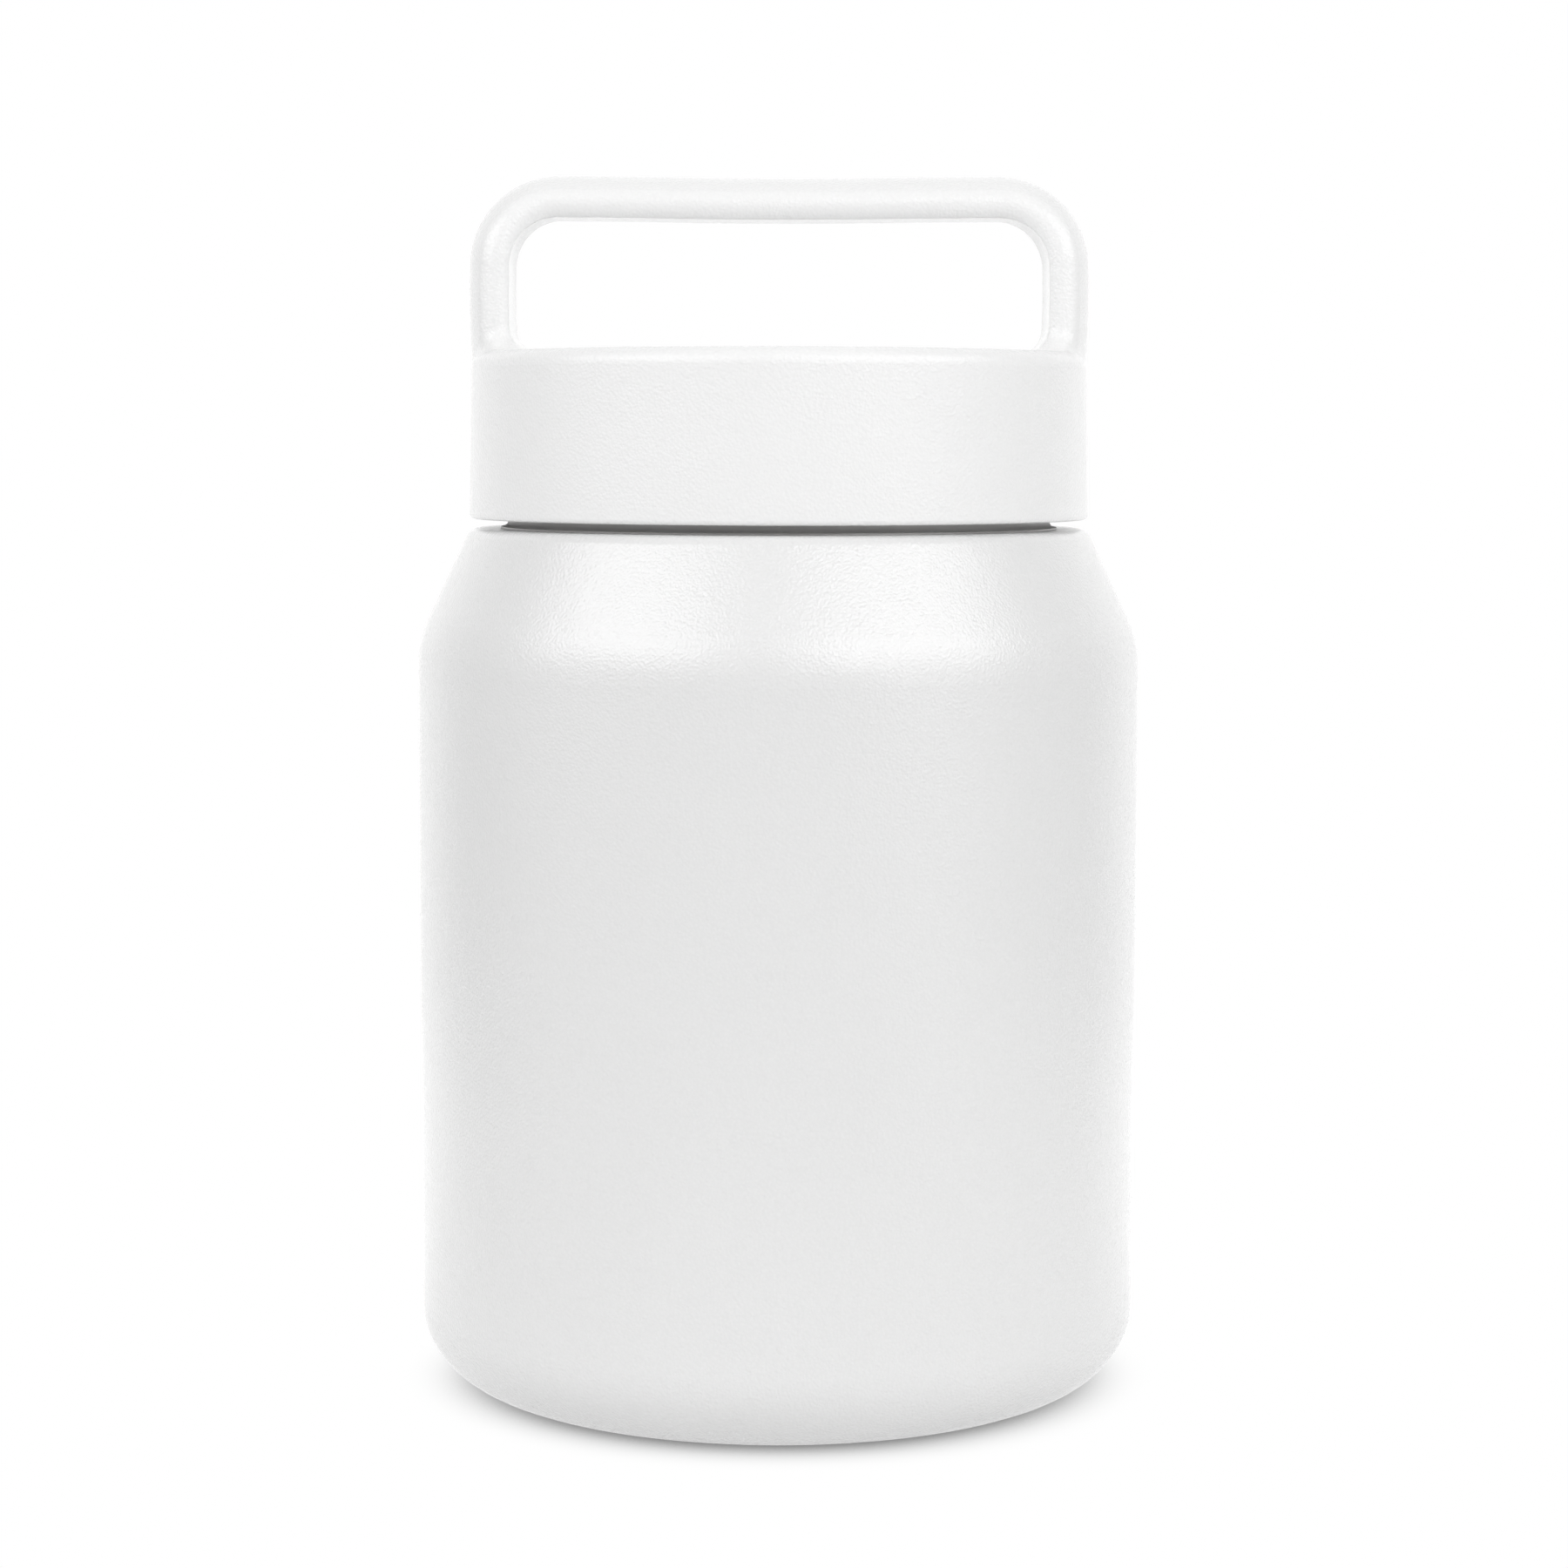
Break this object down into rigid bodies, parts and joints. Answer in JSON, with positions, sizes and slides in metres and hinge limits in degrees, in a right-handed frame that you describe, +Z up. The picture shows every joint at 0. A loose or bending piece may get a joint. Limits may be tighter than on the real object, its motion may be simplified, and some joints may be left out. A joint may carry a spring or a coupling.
{
  "type": "insulated food jar",
  "caption": "Insulated wide-mouth food jar, shut: powder-coated steel vessel with a coned shoulder, and a moulded screw lid with an integral carry handle.",
  "frame": {"origin": "on the jar's axis, in the plane that its foot ring stands on", "axes": "+Z up along the jar's axis, X along the handle's bar"},
  "size_m": [0.1, 0.1, 0.1672],
  "materials": {
    "powder_coat": "fine pebbled white powder coat, satin",
    "bare_steel": "turned stainless steel, satin",
    "lid_plastic": "moulded white plastic with a fine leather grain, matte"
  },
  "bodies": {
    "root": {"vessel": "powder_coat", "neck": "bare_steel", "lid": "lid_plastic"}
  },
  "joints": []
}
